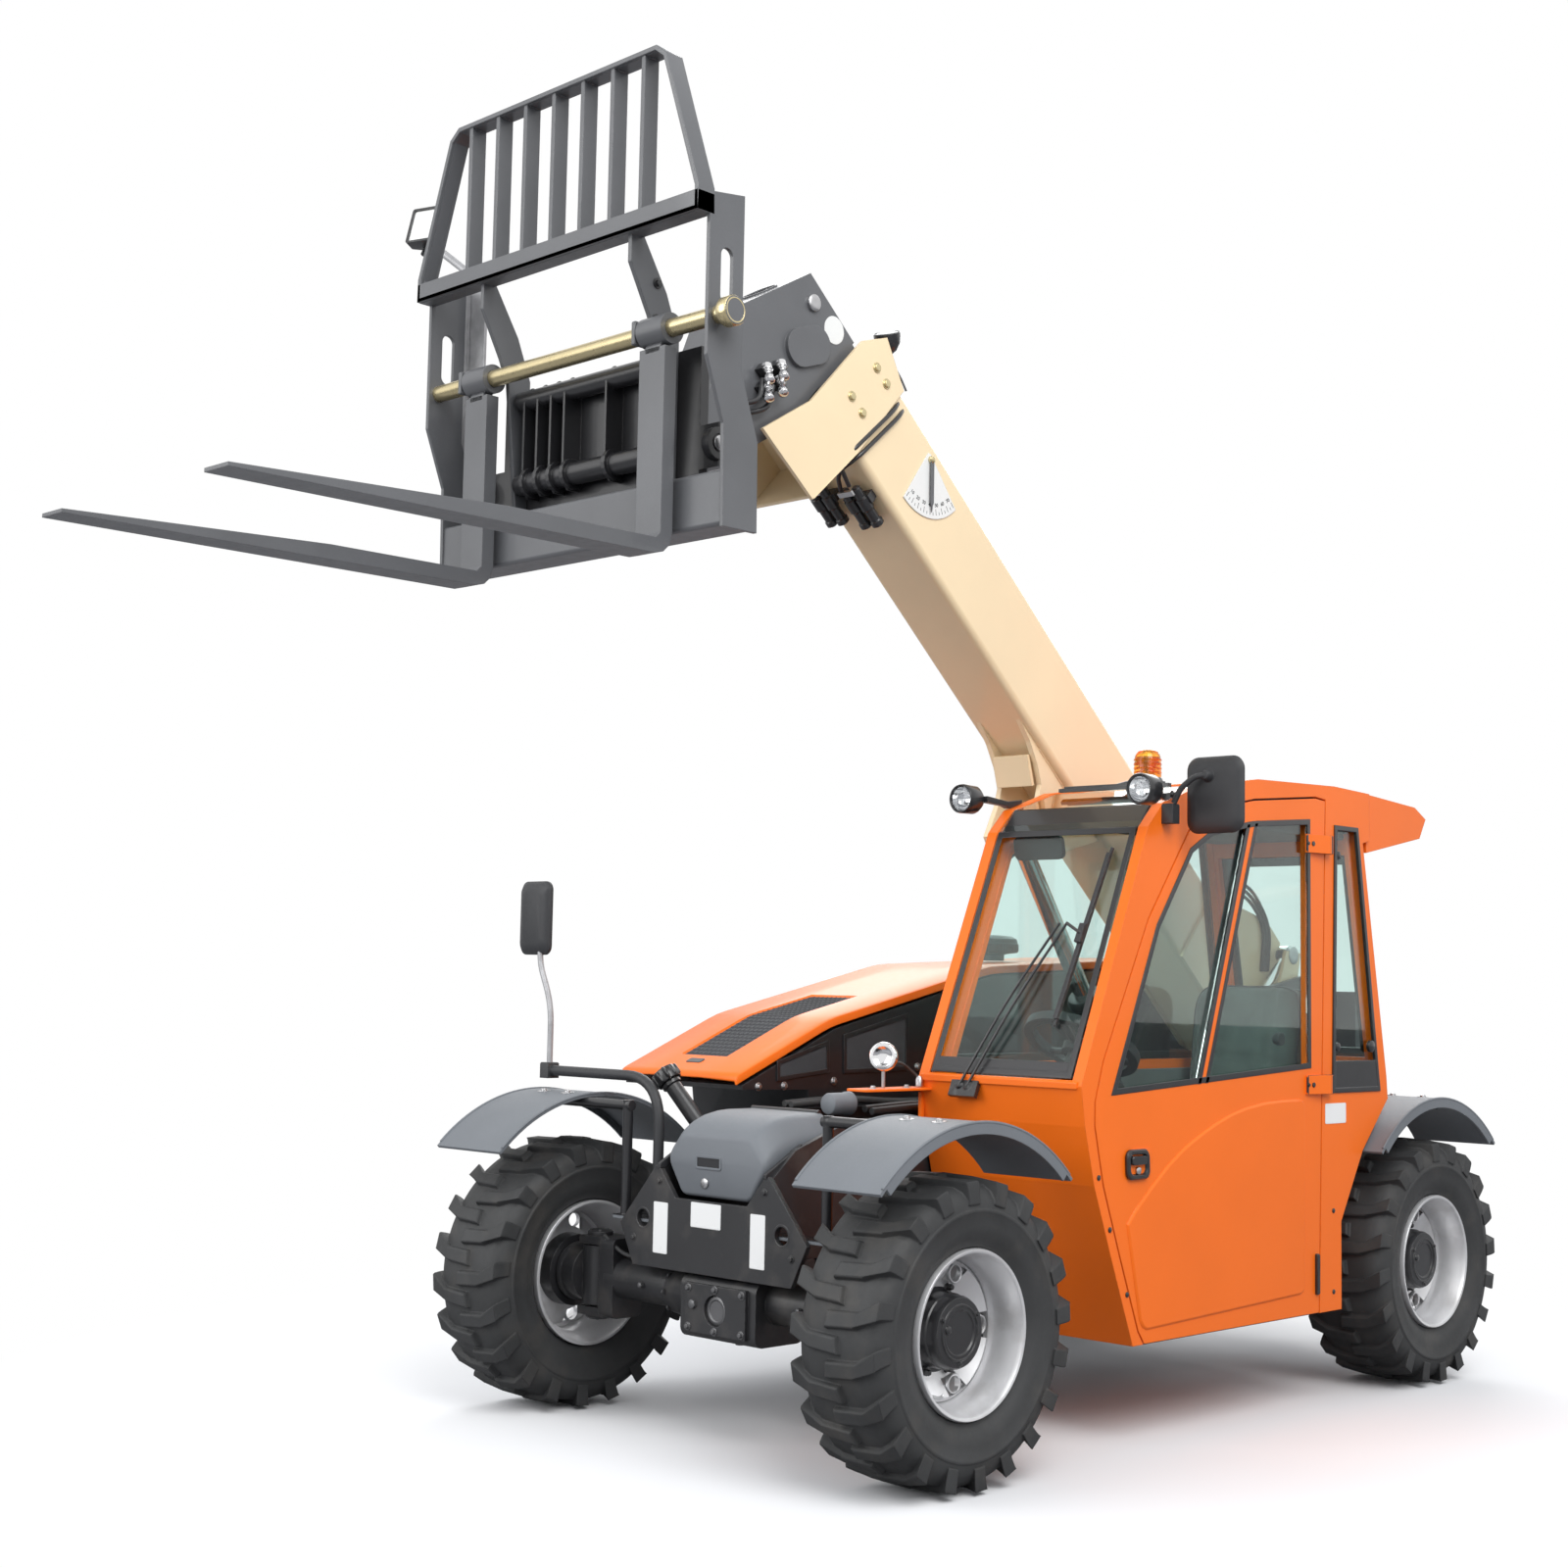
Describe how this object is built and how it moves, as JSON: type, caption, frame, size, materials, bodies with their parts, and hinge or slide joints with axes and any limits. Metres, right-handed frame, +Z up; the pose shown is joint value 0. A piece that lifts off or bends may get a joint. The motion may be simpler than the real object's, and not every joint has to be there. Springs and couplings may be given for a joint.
{
  "type": "telehandler",
  "caption": "Compact telehandler with a side cab, four steered wheels on lugged tyres, a raised two-stage boom, levelling carriage, backrest and pallet forks",
  "frame": {"origin": "Middle of the overall length and width, on the ground under the tyres.", "axes": "+X forward toward the fork tips, +Y to the operator's left, +Z up."},
  "size_m": [5.2098, 2.15, 3.8],
  "materials": {
    "black_frame": "satin",
    "black_axle": "satin",
    "grey_plastic": "matte",
    "orange_paint": "gloss",
    "tinted_glass": "gloss",
    "seat_fabric": "matte",
    "dark_plastic": "matte",
    "lamp_black": "gloss",
    "amber_lens": "gloss",
    "mirror_black": "matte",
    "black_panel": "satin",
    "cast_engine": "matte",
    "clear_bowl": "gloss",
    "cover_plastic": "matte",
    "orange_door": "gloss",
    "door_tint": "gloss",
    "orange_hood": "gloss",
    "cream_paint": "gloss",
    "white_plate": "gloss",
    "grey_boom": "satin",
    "black_coupler": "satin",
    "grey_frame": "satin",
    "grey_forks": "satin",
    "black_barrel": "satin",
    "chrome_rod": "polished",
    "black_small_barrel": "satin",
    "chrome_small_rod": "polished",
    "tyre_rubber": "matte",
    "silver_rim": "satin",
    "black_knuckle": "satin"
  },
  "bodies": {
    "chassis": {"chassis_frame": "black_frame", "axles": "black_axle", "fenders": "grey_plastic", "cab_shell": "orange_paint", "cab_glass": "tinted_glass", "seat": "seat_fabric", "steering_console": "dark_plastic", "lamps": "lamp_black", "beacon": "amber_lens", "mirrors": "mirror_black", "engine_bay": "black_panel", "engine_block": "cast_engine"},
    "cover": {"front_cover": "cover_plastic"},
    "door": {"cab_door": "orange_door", "door_glass": "door_tint"},
    "hood": {"engine_hood": "orange_hood", "air_precleaner": "clear_bowl"},
    "boom": {"boom_outer": "cream_paint", "angle_indicator": "white_plate"},
    "boom_extension": {"boom_inner": "grey_boom"},
    "carriage": {"coupler_plate": "black_coupler", "fork_frame": "grey_frame", "forks": "grey_forks"},
    "lift_barrel": {"lift_cylinder_barrel": "black_barrel"},
    "lift_rod": {"lift_cylinder_rod": "chrome_rod"},
    "level_barrel": {"level_cylinder_barrel": "black_small_barrel"},
    "level_rod": {"level_cylinder_rod": "chrome_small_rod"},
    "steer_front_left": {"knuckle_front_left": "black_knuckle"},
    "wheel_front_left": {"tyre_front_left": "tyre_rubber", "rim_front_left": "silver_rim"},
    "steer_front_right": {"knuckle_front_right": "black_knuckle"},
    "wheel_front_right": {"tyre_front_right": "tyre_rubber", "rim_front_right": "silver_rim"},
    "steer_rear_left": {"knuckle_rear_left": "black_knuckle"},
    "wheel_rear_left": {"tyre_rear_left": "tyre_rubber", "rim_rear_left": "silver_rim"},
    "steer_rear_right": {"knuckle_rear_right": "black_knuckle"},
    "wheel_rear_right": {"tyre_rear_right": "tyre_rubber", "rim_rear_right": "silver_rim"}
  },
  "joints": [
    {"name": "front_cover_lid", "type": "hinge", "parent": "chassis", "child": "cover", "pos_m": [0.37, 0, 0.945], "axis": [0, -1, 0], "range_deg": [0, 60]},
    {"name": "cab_door_swing", "type": "hinge", "parent": "chassis", "child": "door", "pos_m": [-1.27, 0.876, 1.1], "axis": [0, 0, 1], "range_deg": [0, 90]},
    {"name": "engine_hood_lift", "type": "hinge", "parent": "chassis", "child": "hood", "pos_m": [-1.838, -0.53, 1.408], "axis": [0, -1, 0], "range_deg": [0, 50]},
    {"name": "boom_lift", "type": "hinge", "parent": "chassis", "child": "boom", "pos_m": [-2.05, 0, 1.22], "axis": [0, -1, 0], "range_deg": [-41.5, 22]},
    {"name": "boom_extend", "type": "slide", "parent": "boom", "child": "boom_extension", "axis": [0.7547, 0, 0.6561], "range_m": [0, 1.2]},
    {"name": "carriage_tilt", "type": "hinge", "parent": "boom_extension", "child": "carriage", "pos_m": [1.05, 0, 2.75], "axis": [0, 1, 0], "range_deg": [-50, 60]},
    {"name": "steering_front_left", "type": "hinge", "parent": "chassis", "child": "steer_front_left", "pos_m": [0.572, 0.6, 0.415], "axis": [0, 0, 1], "range_deg": [-35, 35]},
    {"name": "wheel_spin_front_left", "type": "hinge", "parent": "steer_front_left", "child": "wheel_front_left", "pos_m": [0.572, 0.767, 0.415], "axis": [0, 1, 0], "continuous": true},
    {"name": "steering_front_right", "type": "hinge", "parent": "chassis", "child": "steer_front_right", "pos_m": [0.572, -0.6, 0.415], "axis": [0, 0, 1], "range_deg": [-35, 35]},
    {"name": "wheel_spin_front_right", "type": "hinge", "parent": "steer_front_right", "child": "wheel_front_right", "pos_m": [0.572, -0.767, 0.415], "axis": [0, 1, 0], "continuous": true},
    {"name": "steering_rear_left", "type": "hinge", "parent": "chassis", "child": "steer_rear_left", "pos_m": [-1.912, 0.6, 0.415], "axis": [0, 0, 1], "range_deg": [-35, 35]},
    {"name": "wheel_spin_rear_left", "type": "hinge", "parent": "steer_rear_left", "child": "wheel_rear_left", "pos_m": [-1.912, 0.767, 0.415], "axis": [0, 1, 0], "continuous": true},
    {"name": "steering_rear_right", "type": "hinge", "parent": "chassis", "child": "steer_rear_right", "pos_m": [-1.912, -0.6, 0.415], "axis": [0, 0, 1], "range_deg": [-35, 35]},
    {"name": "wheel_spin_rear_right", "type": "hinge", "parent": "steer_rear_right", "child": "wheel_rear_right", "pos_m": [-1.912, -0.767, 0.415], "axis": [0, 1, 0], "continuous": true},
    {"name": "lift_barrel_swing", "type": "hinge", "parent": "chassis", "child": "lift_barrel", "pos_m": [-1.67, 0, 0.5], "axis": [0, -1, 0], "range_deg": [-36, 19]},
    {"name": "lift_rod_slide", "type": "slide", "parent": "lift_barrel", "child": "lift_rod", "axis": [0.5771, 0, 0.8167], "range_m": [-0.552, 0.293]},
    {"name": "level_barrel_swing", "type": "hinge", "parent": "chassis", "child": "level_barrel", "pos_m": [-1.6, 0.176, 0.985], "axis": [0, -1, 0], "range_deg": [-12, 6.5]},
    {"name": "level_rod_slide", "type": "slide", "parent": "level_barrel", "child": "level_rod", "axis": [-0.7401, 0, 0.6725], "range_m": [-0.118, 0.063]}
  ],
  "couplings": [
    {"joint": "steering_front_right", "follows": "steering_front_left", "ratio": 1},
    {"joint": "steering_rear_left", "follows": "steering_front_left", "ratio": -1},
    {"joint": "steering_rear_right", "follows": "steering_front_left", "ratio": -1},
    {"joint": "lift_barrel_swing", "follows": "boom_lift", "ratio": 0.86},
    {"joint": "lift_rod_slide", "follows": "boom_lift", "m_per_rad": 0.76},
    {"joint": "level_barrel_swing", "follows": "boom_lift", "ratio": 0.28},
    {"joint": "level_rod_slide", "follows": "boom_lift", "m_per_rad": 0.162}
  ]
}
